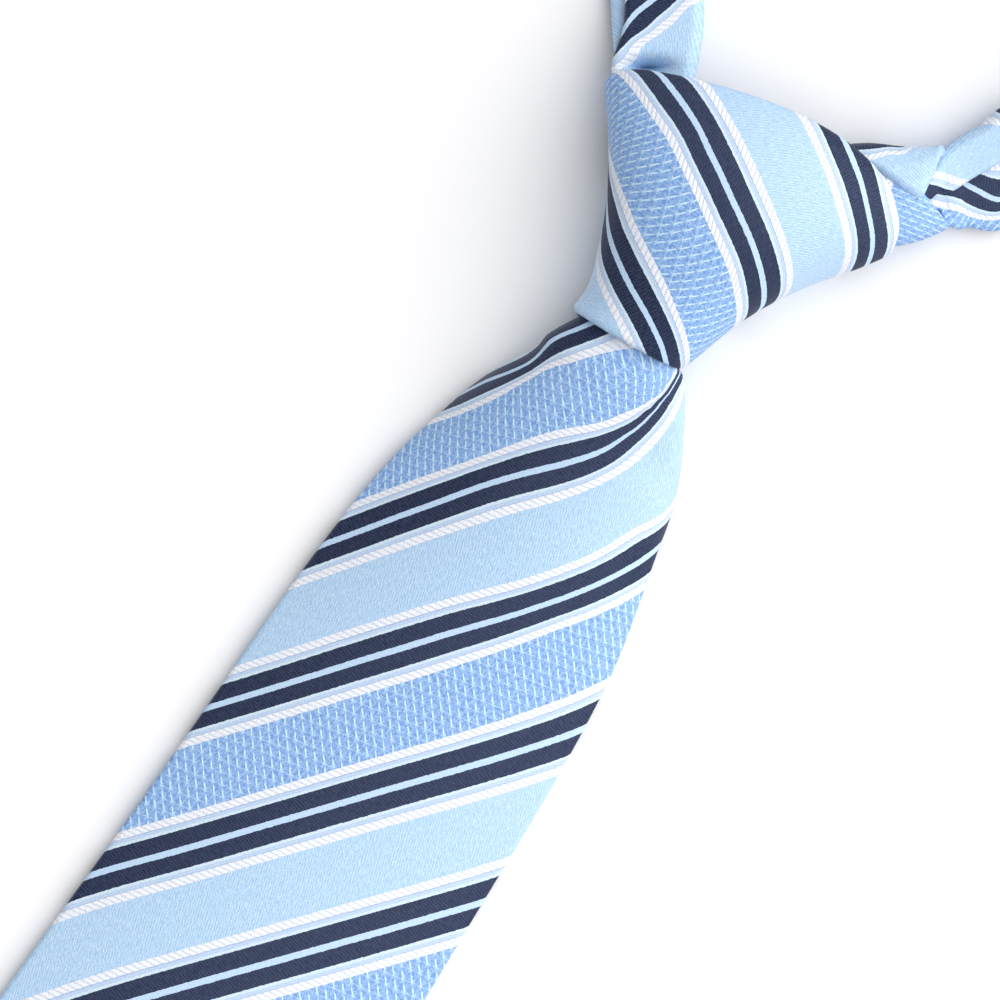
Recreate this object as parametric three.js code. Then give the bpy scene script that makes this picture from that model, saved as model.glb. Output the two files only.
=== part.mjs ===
// A silk necktie tied in a four-in-hand knot and laid face up.
// Millimetres, +Z up. The origin lies on the surface below the middle of the knot. The two
// blades run towards -Y and the neck loop towards +Y.

import * as THREE from 'three';

// The cloth: two layers of silk over an interlining.
const CLOTH = 2.2;
const HALF_CLOTH = CLOTH / 2;
const EDGE_SHARE = 0.45;
const LEAF_GAP = 0.4;
const SEAM_DEPTH = 0.8;

// The front blade, from the knot's mouth to its point.
const BLADE_SHOULDER = 400;
const BLADE_TIP = 440;
const BLADE_COLUMNS = 16;

// The tail blade behind it.
const TAIL_SHOULDER = 281;
const TAIL_TIP = 303;
const TAIL_COLUMNS = 8;

// The turns of the knot.
const WRAP_COLUMNS = 40;
const WRAP_ROWS = 14;
const INNER_WRAP_COLUMNS = 28;
const INNER_WRAP_ROWS = 8;
const FRONT_ROUNDING = 0.65;
const BACK_ROUNDING = 1.3;
const MEAN_RISE = 0.92;
const RISE_LEAN = 0.4;
const CORE_COLUMNS = 16;
const CORE_ROUNDING = 5;

// The neck band.
const BAND_STATIONS = 50;
const BAND_LAST_STEP = 20;
const LEAF_COLUMNS = 3;
const FOLD_COLUMNS = 4;

// The front blade by its distance below the knot's centre: the outline to the left and right,
// the crown's height, how far the sides roll over in degrees and the height of the two edges.
const FRONT_BLADE = smoothTable('reach left right crown roll edge', [
  [13, -6.6, 4.6, 14.8, 158, 8.6],
  [22, -9.2, 5.9, 15.4, 158, 8.6],
  [24, -10.8, 9.0, 15.7, 152, 7.6],
  [27, -12.6, 12.4, 15.8, 142, 6.4],
  [30, -14.0, 14.8, 15.6, 132, 5.2],
  [34, -14.4, 17.0, 15.0, 112, 3.0],
  [38, -16.7, 19.0, 14.4, 98, 0.7],
  [45, -20.5, 21.7, 13.2, 84, 0.5],
  [52, -22.9, 23.4, 12.0, 72, 0.5],
  [60, -25.0, 25.2, 10.8, 58, 0.5],
  [72, -26.8, 27.5, 9.2, 44, 0.5],
  [85, -27.8, 28.8, 8.0, 34, 0.5],
  [100, -28.6, 29.5, 7.0, 27, 0.5],
  [117, -29.2, 30.0, 6.3, 23, 0.5],
  [140, -30.2, 30.6, 6.0, 20, 0.5],
  [175, -32.2, 32.0, 5.9, 19, 0.5],
  [240, -34.8, 34.8, 5.8, 18, 0.5],
  [290, -36.5, 36.5, 5.5, 17, 0.5],
  [320, -37.5, 37.5, 3.2, 12, 0.5],
  [350, -38.6, 38.6, 1.5, 8, 0.5],
  [400, -40.0, 40.0, 1.4, 8, 0.5],
]);
const BLADE_STATIONS = [13, 17, 20, 22, 24, 27, 30, 34, 38, 45, 52, 60, 72, 85, 100, 117, 140, 175,
  207, 240, 290, 305, 320, 335, 350, 375, 398, 401, 410, 420, 430, 439];

// The tail blade: its half width and the height of its middle.
const TAIL_BLADE = smoothTable('reach half middle', [
  [13, 5.0, 4.5],
  [22, 6.0, 4.4],
  [30, 10.5, 3.0],
  [38, 13.6, 1.7],
  [48, 16.8, 1.1],
  [80, 17.6, 1.1],
  [281, 22.5, 1.1],
]);
const TAIL_STATIONS = [13, 18, 22, 26, 30, 34, 38, 48, 60, 80, 120, 160, 200, 240, 278, 282, 289,
  296, 302];

// The last turn of the knot from its upper edge to its mouth: the left and right folds, how far
// the cloth arches between them in front and behind, the crown's height and the folds' height.
const FRONT_WRAP = smoothTable('down leftX leftY rightX rightY rise backRise crown fold base', [
  [0.00, -29.2, 14.8, 28.8, 12.0, 13.6, 3.0, 18.4, 9.6, 0],
  [0.06, -28.9, 13.2, 27.8, 11.2, 12.2, 2.6, 20.8, 9.8, 0],
  [0.18, -25.8, 8.9, 25.4, 9.2, 9.4, 2.0, 23.6, 10.4, 0],
  [0.35, -21.8, 3.2, 20.7, 3.3, 6.6, 1.4, 25.4, 11.0, 0],
  [0.55, -17.4, -4.6, 16.0, -4.2, 3.6, 0.6, 25.2, 11.2, 0],
  [0.75, -14.4, -12.5, 12.7, -11.4, 1.2, 0.0, 23.0, 10.8, 0],
  [0.92, -13.0, -19.8, 10.4, -19.4, -0.2, -0.6, 20.6, 10.3, 0],
  [1.00, -12.7, -23.2, 9.4, -22.3, -0.5, -1.0, 19.6, 10.2, 0],
]);

// The turn below it, from its outer edge round the right arm to its root inside the knot.
const INNER_WRAP = smoothTable('down leftX leftY rightX rightY rise backRise crown fold base', [
  [0.00, 27.0, 35.3, 35.4, 24.0, -2.6, 0.5, 11.2, 5.8, 0],
  [0.10, 25.9, 34.4, 34.6, 22.8, -1.8, 0.5, 12.0, 6.0, 0.2],
  [0.40, 20.8, 32.0, 31.8, 18.8, -0.4, 0.4, 13.0, 7.0, 1.4],
  [0.70, 14.6, 28.8, 28.2, 15.6, 0.0, 0.0, 13.3, 7.8, 2.5],
  [1.00, 8.6, 23.6, 22.6, 12.8, 0.0, 0.0, 13.3, 7.8, 2.5],
]);

// The gathered layers inside the knot.
const KNOT_CORE = smoothTable('reach left right bottom top', [
  [-21, -6, 8, 5.0, 14.5],
  [-16, -10, 11, 3.8, 17.0],
  [-10, -11, 12, 3.2, 19.0],
  [-5, -15, 14.5, 3.0, 20.6],
  [0, -15.4, 14.6, 3.0, 21.2],
  [6, -12.8, 12.0, 3.2, 20.6],
  [12, -10.0, 9.4, 4.4, 19.0],
]);
const CORE_STATIONS = [-20.8, -20, -18.5, -16, -10, -5, 0, 6, 9.5, 11, 11.8];
const CORE_ENDS = [-21, 12];

// The neck band round the neck: its inner fold, which way its leaves lie from it, the width of
// the upper and the lower leaf, how steeply they stand and how high the band is carried.
const NECK_BAND = smoothTable('step x y facing upper lower tilt lift', [
  [0, -12.6, 13.0, 204, 8.0, 7.6, 0, 6.2],
  [1, -14.4, 18.0, 203, 10.2, 9.4, 0, 6.4],
  [2, -16.3, 22.8, 203, 12.8, 13.2, 1, 5.6],
  [3, -19.5, 31.3, 207, 14.4, 16.6, 5, 2.4],
  [4, -26.0, 44.0, 208, 15.6, 16.6, 12, 0.2],
  [5, -37.0, 63.0, 207, 16.5, 16.6, 24, 0],
  [6, -48.0, 88.0, 198, 16.5, 16.6, 40, 0],
  [7, -54.5, 116.0, 184, 16.5, 16.6, 54, 0],
  [8, -49.0, 145.0, 155, 16.5, 16.6, 64, 0],
  [9, -25.0, 168.0, 116, 16.5, 16.6, 68, 0],
  [10, 5.0, 173.0, 84, 16.5, 16.6, 68, 0],
  [11, 35.0, 160.0, 46, 16.5, 16.6, 64, 0],
  [12, 53.0, 132.0, 12, 16.5, 16.6, 54, 0],
  [13, 56.0, 103.0, -8, 16.5, 16.6, 40, 0],
  [14, 49.5, 76.0, -22, 15.6, 17.4, 24, 0],
  [15, 39.5, 57.0, -36, 12.0, 18.8, 12, 0],
  [16, 32.0, 46.5, -48, 8.6, 19.0, 5, 0.8],
  [17, 29.0, 39.5, -56, 7.6, 15.0, 2, 1.8],
  [18, 29.8, 32.6, -54, 6.0, 6.6, 0, 3.0],
  [19, 25.2, 26.9, -54, 5.4, 6.2, 0, 4.8],
  [20, 20.6, 22.4, -50, 3.8, 4.4, 0, 5.3],
]);

// Smooth columns over the first one, from a short table.
function smoothTable(names, rows) {
  const columns = names.split(' ').slice(1);
  const positions = rows.map((row) => row[0]);
  const values = rows.flatMap((row) => row.slice(1));
  const spline = new THREE.CubicInterpolant(positions, values, columns.length, []);
  return (position) => {
    const result = spline.evaluate(position);
    return Object.fromEntries(columns.map((column, index) => [column, result[index]]));
  };
}

function evenSteps(count, start = 0, end = 1) {
  return Array.from({ length: count + 1 }, (_, index) => start + (end - start) * (index / count));
}

// A wall of cloth round a grid of points in its middle. With around set, the columns close on
// themselves. The seam thins the wall from below along the middle column.
function clothSolid(grid, { around = false, seam = 0 } = {}) {
  const rows = grid.length;
  const columns = grid[0].length;
  const vertices = [];
  grid.forEach((row, j) => row.forEach((point, i) => {
    const left = around ? row[(i + columns - 1) % columns] : row[Math.max(i - 1, 0)];
    const right = around ? row[(i + 1) % columns] : row[Math.min(i + 1, columns - 1)];
    const before = grid[Math.max(j - 1, 0)][i];
    const after = grid[Math.min(j + 1, rows - 1)][i];
    const across = new THREE.Vector3().subVectors(right, left);
    const along = new THREE.Vector3().subVectors(after, before);
    const normal = across.cross(along).normalize();
    const sideEdge = !around && (i === 0 || i === columns - 1);
    const onEdge = j === 0 || j === rows - 1 || sideEdge;
    const offset = HALF_CLOTH * (onEdge ? EDGE_SHARE : 1);
    const cut = !onEdge && i === (columns - 1) / 2 ? seam : 0;
    const outer = point.clone().addScaledVector(normal, offset);
    const inner = point.clone().addScaledVector(normal, cut - offset);
    for (const corner of [outer, inner]) vertices.push(corner.x, corner.y, Math.max(corner.z, 0));
  }));

  const outerAt = (j, i) => 2 * (j * columns + (i % columns));
  const innerAt = (j, i) => outerAt(j, i) + 1;
  const triangles = [];
  const quad = (a, b, c, d) => triangles.push(a, b, c, a, c, d);
  const spans = around ? columns : columns - 1;
  for (let j = 0; j < rows - 1; j += 1) {
    for (let i = 0; i < spans; i += 1) {
      quad(outerAt(j, i), outerAt(j, i + 1), outerAt(j + 1, i + 1), outerAt(j + 1, i));
      quad(innerAt(j, i), innerAt(j + 1, i), innerAt(j + 1, i + 1), innerAt(j, i + 1));
    }
    if (!around) {
      quad(outerAt(j, 0), outerAt(j + 1, 0), innerAt(j + 1, 0), innerAt(j, 0));
      quad(outerAt(j + 1, spans), outerAt(j, spans), innerAt(j, spans), innerAt(j + 1, spans));
    }
  }
  for (let i = 0; i < spans; i += 1) {
    quad(outerAt(0, i + 1), outerAt(0, i), innerAt(0, i), innerAt(0, i + 1));
    const last = rows - 1;
    quad(outerAt(last, i), outerAt(last, i + 1), innerAt(last, i + 1), innerAt(last, i));
  }
  return closedGeometry(vertices, triangles);
}

// A solid lofted through closed rings of points, with a flat fan at each end.
function loftedSolid(rings) {
  const columns = rings[0].length;
  const vertices = [];
  const addPoint = (point) => vertices.push(point.x, point.y, Math.max(point.z, 0));
  rings.forEach((ring) => ring.forEach(addPoint));
  const triangles = [];
  for (let j = 0; j < rings.length - 1; j += 1) {
    for (let i = 0; i < columns; i += 1) {
      const a = j * columns + i;
      const b = j * columns + ((i + 1) % columns);
      triangles.push(a, b, b + columns, a, b + columns, a + columns);
    }
  }
  const last = (rings.length - 1) * columns;
  const centreOf = (ring) => ring.reduce((sum, point) => sum.add(point), new THREE.Vector3())
    .divideScalar(columns);
  const first = rings.length * columns;
  addPoint(centreOf(rings[0]));
  addPoint(centreOf(rings[rings.length - 1]));
  for (let i = 0; i < columns; i += 1) {
    const next = (i + 1) % columns;
    triangles.push(first, next, i);
    triangles.push(first + 1, last + i, last + next);
  }
  return closedGeometry(vertices, triangles);
}

function closedGeometry(vertices, triangles) {
  const geometry = new THREE.BufferGeometry();
  geometry.setAttribute('position', new THREE.Float32BufferAttribute(vertices, 3));
  geometry.setIndex(triangles);
  geometry.computeVertexNormals();
  return geometry;
}

// The share of a blade's full width that is left at a distance past its shoulder.
function pointShare(reach, shoulder, tip) {
  return Math.min(1, Math.max((tip - reach) / (tip - shoulder), 0));
}

// The front blade arches over the tail: across it, an arc whose ends roll under at the knot.
function frontBlade() {
  const grid = BLADE_STATIONS.map((reach) => {
    const { left, right, crown, roll, edge } = FRONT_BLADE(Math.min(reach, BLADE_SHOULDER));
    const share = pointShare(reach, BLADE_SHOULDER, BLADE_TIP);
    const turn = THREE.MathUtils.degToRad(roll);
    const widest = Math.sin(Math.min(turn, Math.PI / 2));
    return evenSteps(BLADE_COLUMNS, -1, 1).map((across) => {
      const angle = Math.abs(across) * turn;
      const outline = share * (across < 0 ? left + HALF_CLOTH : right - HALF_CLOTH);
      const drop = (crown - HALF_CLOTH - edge) * (1 - Math.cos(angle)) / (1 - Math.cos(turn));
      return new THREE.Vector3(outline * Math.sin(angle) / widest, -reach, crown - drop);
    });
  });
  return clothSolid(grid.reverse(), { seam: SEAM_DEPTH });
}

function tailBlade() {
  const grid = TAIL_STATIONS.map((reach) => {
    const { half, middle } = TAIL_BLADE(Math.min(reach, TAIL_SHOULDER));
    const share = pointShare(reach, TAIL_SHOULDER, TAIL_TIP);
    return evenSteps(TAIL_COLUMNS, -1, 1).map((across) => (
      new THREE.Vector3(across * share * half, -reach, middle)));
  });
  return clothSolid(grid.reverse(), { seam: SEAM_DEPTH });
}

// A turn of the knot: a ring of cloth whose front is domed and whose back lies flat. Its rows run
// from one side fold over the front to the other and return behind. The front rises most on the
// side that it leans to.
function knotTurn(table, rows, columns) {
  const grid = evenSteps(rows).map((down) => {
    const row = table(down);
    const left = new THREE.Vector2(row.leftX, row.leftY);
    const right = new THREE.Vector2(row.rightX, row.rightY);
    const chord = new THREE.Vector2().subVectors(right, left);
    const middle = new THREE.Vector2().addVectors(left, right).multiplyScalar(0.5);
    const side = chord.clone().normalize();
    const up = new THREE.Vector2(-side.y, side.x);
    const halfWidth = chord.length() / 2 - HALF_CLOTH;
    return evenSteps(columns).slice(0, columns).map((share) => {
      const angle = 2 * Math.PI * share;
      const rounding = Math.abs(Math.sin(angle));
      const skew = MEAN_RISE - RISE_LEAN * Math.cos(angle);
      const inFront = angle <= Math.PI;
      const rise = rounding * (inFront ? row.rise * skew : row.backRise);
      const domed = row.fold + (row.crown - HALF_CLOTH - row.fold) * rounding ** FRONT_ROUNDING;
      const sunk = 1 - (1 - Math.min(1, BACK_ROUNDING * rounding)) ** 2;
      const flattened = row.fold + (row.base + HALF_CLOTH - row.fold) * sunk;
      const place = middle.clone()
        .addScaledVector(side, -halfWidth * Math.cos(angle))
        .addScaledVector(up, rise);
      return new THREE.Vector3(place.x, place.y, inFront ? domed : flattened);
    });
  });
  return clothSolid(grid.reverse(), { around: true });
}

function knotCore() {
  const rings = CORE_STATIONS.map((reach) => {
    const row = KNOT_CORE(reach);
    const fromEnd = Math.min(reach - CORE_ENDS[0], CORE_ENDS[1] - reach);
    const size = Math.sqrt(1 - (1 - Math.min(1, fromEnd / CORE_ROUNDING)) ** 2);
    const halfWidth = size * (row.right - row.left) / 2;
    const halfHeight = size * (row.top - row.bottom) / 2;
    return evenSteps(CORE_COLUMNS).slice(0, CORE_COLUMNS).map((share) => {
      const angle = 2 * Math.PI * share;
      return new THREE.Vector3(
        (row.left + row.right) / 2 + halfWidth * Math.cos(angle),
        -reach,
        (row.top + row.bottom) / 2 + halfHeight * Math.sin(angle),
      );
    });
  });
  return loftedSolid(rings);
}

// The neck band: two leaves joined by a fold along the inside of the loop.
function neckBand() {
  const fold = (CLOTH + LEAF_GAP) / 2;
  const grid = evenSteps(BAND_STATIONS, 0, BAND_LAST_STEP).map((step) => {
    const { x, y, facing, upper, lower, tilt, lift } = NECK_BAND(step);
    const slope = THREE.MathUtils.degToRad(tilt);
    const outwards = new THREE.Vector3(1, 0, 0)
      .applyAxisAngle(new THREE.Vector3(0, 0, 1), THREE.MathUtils.degToRad(facing));
    const along = outwards.clone().multiplyScalar(Math.cos(slope));
    along.z = -Math.sin(slope);
    const above = outwards.clone().multiplyScalar(Math.sin(slope));
    above.z = Math.cos(slope);
    const place = (reach, height) => new THREE.Vector3(x, y, 0)
      .addScaledVector(along, reach)
      .addScaledVector(above, height);
    const upperLeaf = evenSteps(LEAF_COLUMNS, upper, fold).map((reach) => place(reach, fold));
    const bend = evenSteps(FOLD_COLUMNS + 1, 90, 270).slice(1, -1).map((degrees) => {
      const angle = THREE.MathUtils.degToRad(degrees);
      return place(fold + fold * Math.cos(angle), fold * Math.sin(angle));
    });
    const lowerLeaf = evenSteps(LEAF_COLUMNS, fold, lower).map((reach) => place(reach, -fold));
    const section = [...upperLeaf, ...bend, ...lowerLeaf];
    const undersides = section.map((point, index) => {
      const onEdge = index === 0 || index === section.length - 1;
      return point.z - HALF_CLOTH * (onEdge ? EDGE_SHARE : 1) * Math.cos(slope);
    });
    const raise = lift - Math.min(...undersides);
    section.forEach((point) => point.setZ(point.z + raise));
    return section;
  });
  return clothSolid(grid);
}

const silk = (name, color) => new THREE.MeshStandardMaterial({
  name, color, roughness: 0.45, metalness: 0,
});

function piece(name, geometry, color) {
  const mesh = new THREE.Mesh(geometry, silk(`${name}_silk`, color));
  mesh.name = name;
  return mesh;
}

const necktie = new THREE.Group();
necktie.name = 'necktie';
necktie.add(
  piece('front_blade', frontBlade(), '#a6c8ef'),
  piece('tail_blade', tailBlade(), '#a6c8ef'),
  piece('knot_front_wrap', knotTurn(FRONT_WRAP, WRAP_ROWS, WRAP_COLUMNS), '#a5c8f1'),
  piece('knot_inner_wrap', knotTurn(INNER_WRAP, INNER_WRAP_ROWS, INNER_WRAP_COLUMNS), '#b0d2f2'),
  piece('knot_core', knotCore(), '#a5c8f1'),
  piece('neck_band', neckBand(), '#b4d4f4'),
);

export default necktie;
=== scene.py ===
"""A striped silk necktie, tied in a four-in-hand knot and laid face up.

Every piece is a wall of folded cloth, worked out from short tables in millimetres. Its cloth map
gives each point's place in the weave, in millimetres along and across the stripes, so that the
stripes, cords and threads follow the folds.
"""

import math

import bpy
import numpy as np
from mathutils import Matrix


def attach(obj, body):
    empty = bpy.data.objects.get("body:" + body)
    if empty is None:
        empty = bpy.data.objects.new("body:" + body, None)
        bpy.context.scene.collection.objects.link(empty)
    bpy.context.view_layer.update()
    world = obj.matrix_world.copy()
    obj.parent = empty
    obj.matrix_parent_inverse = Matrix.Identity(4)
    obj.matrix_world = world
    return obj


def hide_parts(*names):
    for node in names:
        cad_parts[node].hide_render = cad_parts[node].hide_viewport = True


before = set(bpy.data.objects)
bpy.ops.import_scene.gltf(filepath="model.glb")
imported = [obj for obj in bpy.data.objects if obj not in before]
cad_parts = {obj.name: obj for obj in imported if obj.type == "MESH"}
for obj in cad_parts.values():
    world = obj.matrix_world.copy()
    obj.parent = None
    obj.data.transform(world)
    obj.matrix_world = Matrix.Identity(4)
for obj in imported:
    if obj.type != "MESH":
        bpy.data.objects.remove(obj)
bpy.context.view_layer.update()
bpy.ops.object.select_all(action="DESELECT")

bl_info = {
    "name": "Striped Silk Necktie",
    "version": (1, 0, 0),
    "blender": (4, 5, 0),
    "location": "3D View > Sidebar > Necktie",
    "description": "Models a four-in-hand necktie of striped silk, laid face up",
    "category": "Add Mesh",
}

MM = 0.001

# The stripes lie 40 degrees clockwise from the length of the tie.
STRIPE_TURN = math.radians(40)

# Places across one repeat of the stripes, in millimetres: two groups of lines, a textured ground
# after the first and a satin ground after the second.
REPEAT = 45.3
HALF_REPEAT = 23.25
GROUP = 11.8
THIN_LINE = 5.87

# How the threads run, in degrees from the stripe, and how far apart they lie.
CORD_LEAN = -43
NAVY_LEAN = -65
SATIN_LEAN = 55
NET_LEAN = 79
MESH_ROW = (1.78, 1.20)
MESH_COLUMN = (-1.33, 1.07)

# The camera looks straight down, turned to the photograph's view of the tie.
VIEW_CENTRE = (-5.29, -58.28)
VIEW_TURN = 32.5
VIEW_FIELD = 175
CAMERA_HEIGHT = 6000
# The soft key light stands to the right of the tie, this far from straight above.
LIGHT_SLANT = 42
LIGHT_TURN = 38
LIGHT_SPREAD = 90
SENSOR_WIDTH = 36


def smooth_table(names, rows):
    """Smooth columns over the first one, from a short table."""
    names = names.split()[1:]
    data = np.array(rows, float)
    steps, values = data[:, 0], data[:, 1:]
    slopes = np.diff(values, axis=0) / np.diff(steps)[:, None]
    tangents = np.vstack([slopes[:1], (slopes[:-1] + slopes[1:]) / 2, slopes[-1:]])

    def at(places):
        places = np.atleast_1d(np.asarray(places, float))
        k = np.clip(np.searchsorted(steps, places, side="right") - 1, 0, len(steps) - 2)
        width = (steps[k + 1] - steps[k])[:, None]
        t = (places - steps[k])[:, None] / width
        start = (2 * t**3 - 3 * t**2 + 1) * values[k] + (t**3 - 2 * t**2 + t) * width * tangents[k]
        end = (3 * t**2 - 2 * t**3) * values[k + 1] + (t**3 - t**2) * width * tangents[k + 1]
        return dict(zip(names, (start + end).T))

    return at


def as_columns(row):
    """A table's smooth values as columns, to be spread over a grid."""
    return {name: values[:, None] for name, values in row.items()}


# The front blade by its distance below the knot's centre: the outline to the left and right,
# the crown's height, how far the sides roll over in degrees and the height of the two edges.
FRONT_BLADE = smooth_table("reach left right crown roll edge", [
    (13, -6.6, 4.6, 14.8, 158, 8.6),
    (22, -9.2, 6.4, 15.4, 158, 8.6),
    (23, -10.0, 9.6, 15.6, 155, 8.1),
    (24, -10.8, 10.7, 15.7, 152, 7.6),
    (27, -12.6, 12.9, 15.8, 142, 6.4),
    (30, -14.0, 14.8, 15.6, 132, 5.2),
    (32, -14.2, 15.9, 15.3, 122, 4.1),
    (34, -15.1, 17.0, 15.0, 112, 3.0),
    (38, -17.5, 19.0, 14.4, 98, 0.9),
    (45, -20.7, 21.7, 13.2, 84, 0.9),
    (52, -22.9, 23.4, 12.0, 72, 0.9),
    (60, -25.0, 25.2, 10.8, 58, 0.9),
    (72, -26.8, 27.5, 9.2, 44, 0.9),
    (85, -27.8, 28.8, 8.0, 34, 0.9),
    (100, -28.6, 29.5, 7.0, 27, 0.9),
    (117, -29.2, 30.0, 6.3, 23, 0.9),
    (140, -30.2, 30.6, 6.0, 20, 0.9),
    (175, -32.2, 32.0, 5.9, 19, 0.9),
    (240, -34.8, 34.8, 5.8, 18, 0.9),
    (290, -36.5, 36.5, 5.5, 17, 0.9),
    (320, -37.5, 37.5, 3.4, 12, 0.9),
    (350, -38.6, 38.6, 2.1, 8, 0.9),
    (400, -40.0, 40.0, 2.0, 8, 0.9),
])
BLADE_SHOULDER = 400
BLADE_TIP = 440
# Its sheet has rows close together down to this reach, where the cloth is gathered.
GATHERED_REACH = 60
GATHERED_ROW = 0.7
BLADE_ROW = 2.0
# The rows of a blade's point: over which length, how many, and how blunt the tip is.
POINT_LENGTH = 3
POINT_ROWS = 8
POINT_BLUNT = 0.5
# The seam that closes a blade behind, as a groove.
SEAM_DEPTH = 0.6
SEAM_WIDTH = 0.7

# The tail blade: its half width and the height of its middle.
TAIL_BLADE = smooth_table("reach half middle", [
    (13, 5.0, 4.5),
    (22, 6.0, 4.4),
    (30, 10.5, 3.0),
    (38, 13.6, 1.7),
    (48, 16.8, 1.1),
    (80, 17.6, 1.1),
    (281, 22.5, 1.1),
])
TAIL_SHOULDER = 281
TAIL_TIP = 303
# How far the tail's stripes lie from the front blade's, across them.
TAIL_SHIFT = 9.0
KNOT_REACH = 13

# The last turn of the knot from its upper edge to its mouth: the left and right folds, how far
# the cloth arches between them in front and behind, the crown's height and the folds' height.
FRONT_WRAP = smooth_table("down left_x left_y right_x right_y rise back_rise crown fold base", [
    (0.00, -29.2, 14.8, 29.7, 15.4, 11.7, 1.0, 18.4, 9.6, 0),
    (0.06, -28.9, 13.2, 28.6, 13.8, 11.0, 1.2, 20.8, 9.8, 0),
    (0.18, -25.8, 8.9, 25.9, 9.9, 9.2, 1.6, 23.6, 10.4, 0),
    (0.35, -21.8, 3.2, 20.7, 3.3, 6.6, 1.4, 25.4, 11.0, 0),
    (0.55, -17.4, -4.6, 16.0, -4.2, 3.6, 0.6, 25.2, 11.2, 0),
    (0.75, -14.1, -12.8, 12.7, -11.4, 1.2, 0.0, 23.0, 10.8, 0),
    (0.84, -12.9, -16.3, 11.4, -15.4, 0.5, -0.3, 21.8, 10.6, 0),
    (0.92, -12.4, -19.6, 10.2, -19.2, -0.2, -0.6, 20.6, 10.3, 0),
    (1.00, -12.8, -23.5, 9.0, -22.0, -0.7, -1.0, 19.6, 10.2, 0),
])

# The turn below it, from its outer edge round the right arm to its root inside the knot.
# Its front is notched, and creased between an upper and a lower flap.
INNER_WRAP_COLUMNS = "down left_x left_y right_x right_y rise back_rise crown fold base crease"
INNER_WRAP = smooth_table(INNER_WRAP_COLUMNS, [
    (0.00, 26.7, 36.1, 35.1, 23.9, 0.0, 0.5, 11.2, 5.8, 0, 0.60),
    (0.10, 25.7, 34.9, 34.5, 22.7, 0.0, 0.5, 12.0, 6.0, 0.2, 0.535),
    (0.40, 20.9, 31.7, 31.8, 18.8, 0.0, 0.4, 13.0, 7.0, 1.4, 0.35),
    (0.70, 14.8, 28.5, 28.2, 15.6, 0.0, 0.0, 13.3, 7.8, 2.5, 0.15),
    (1.00, 8.6, 23.6, 22.6, 12.8, 0.0, 0.0, 13.3, 7.8, 2.5, 0.10),
])
NOTCH_PLACE = 0.60
NOTCH_DEPTH = 4.2
# The notch fades out at this share of the way down.
NOTCH_END = 0.75
FLAP_STEP = 1.0
CREASE_COLUMN = 0.5
# Which columns of a turn are its front, as shares of the way round.
FRONT_COLUMNS = (0.25, 0.75)

# Rows and columns of the two turns' sheets.
FRONT_WRAP_GRID = (96, 240)
INNER_WRAP_GRID = (72, 200)

# How full a turn is in front and behind, and how its arch leans to the left.
FRONT_ROUNDING = 0.65
BACK_ROUNDING = 1.3
MEAN_RISE = 0.92
RISE_LEAN = 0.4

# The gathered layers inside the knot.
KNOT_CORE = smooth_table("reach left right bottom top", [
    (-21, -6, 8, 5.0, 14.5),
    (-16, -10, 11, 3.8, 17.0),
    (-10, -11, 12, 3.2, 19.0),
    (-5, -15, 14.5, 3.0, 20.6),
    (0, -15.4, 14.6, 3.0, 21.2),
    (6, -12.8, 12.0, 3.2, 20.6),
    (12, -10.0, 9.4, 4.4, 19.0),
])
CORE_ENDS = (-21, 12)
CORE_ROUNDING = 5
CORE_WALL = 1.2
# Near its ends the core's wall is this share of how far the end has opened.
CORE_WALL_SHARE = 0.4
CORE_SHIFT = (0, 8.0)
CORE_LEAN = 0.6

# The neck band round the neck: its inner fold, which way its leaves lie from it, the width of
# the upper and the lower leaf, how steeply they stand and how high the band is carried.
NECK_BAND = smooth_table("step x y facing upper lower tilt lift", [
    (0, -12.6, 13.0, 204, 8.0, 7.6, 0, 6.2),
    (1, -14.4, 18.0, 203, 12.6, 9.4, 0, 6.4),
    (1.5, -15.3, 20.4, 202, 13.5, 10.8, 0.5, 6.1),
    (2, -16.3, 22.8, 203, 13.8, 13.0, 1, 5.6),
    (3, -20.0, 31.2, 207, 12.9, 15.5, 5, 2.4),
    (4, -28.0, 43.7, 208, 13.6, 16.0, 12, 0.2),
    (5, -37.0, 63.0, 207, 16.5, 16.6, 24, 0),
    (6, -48.0, 88.0, 198, 16.5, 16.6, 40, 0),
    (7, -54.5, 116.0, 184, 16.5, 16.6, 54, 0),
    (8, -49.0, 145.0, 155, 16.5, 16.6, 64, 0),
    (9, -25.0, 168.0, 116, 16.5, 16.6, 68, 0),
    (10, 5.0, 173.0, 84, 16.5, 16.6, 68, 0),
    (11, 35.0, 160.0, 46, 16.5, 16.6, 64, 0),
    (12, 53.0, 132.0, 12, 16.5, 16.6, 54, 0),
    (13, 56.0, 103.0, -8, 16.5, 16.6, 40, 0),
    (14, 49.5, 76.0, -22, 15.6, 17.4, 24, 0),
    (15, 39.5, 57.0, -36, 12.0, 18.8, 12, 0),
    (16, 31.9, 46.9, -48, 8.0, 19.3, 5, 0.8),
    (16.5, 30.7, 43.1, -52, 7.2, 18.3, 3, 1.3),
    (17, 28.9, 39.5, -55, 7.4, 15.6, 2, 1.8),
    (17.8, 27.5, 35.9, -56, 7.0, 13.0, 0, 2.7),
    (17.9, 27.4, 35.2, -59, 6.6, 11.6, 0, 2.8),
    (18, 27.4, 34.4, -61, 5.8, 9.4, 0, 3.0),
    (18.5, 26.8, 30.8, -57, 4.6, 7.2, 0, 3.9),
    (19, 25.2, 26.9, -54, 4.4, 6.2, 0, 4.8),
    (20, 20.6, 22.4, -50, 3.8, 4.4, 0, 5.3),
])
BAND_STEPS = 20
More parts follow.
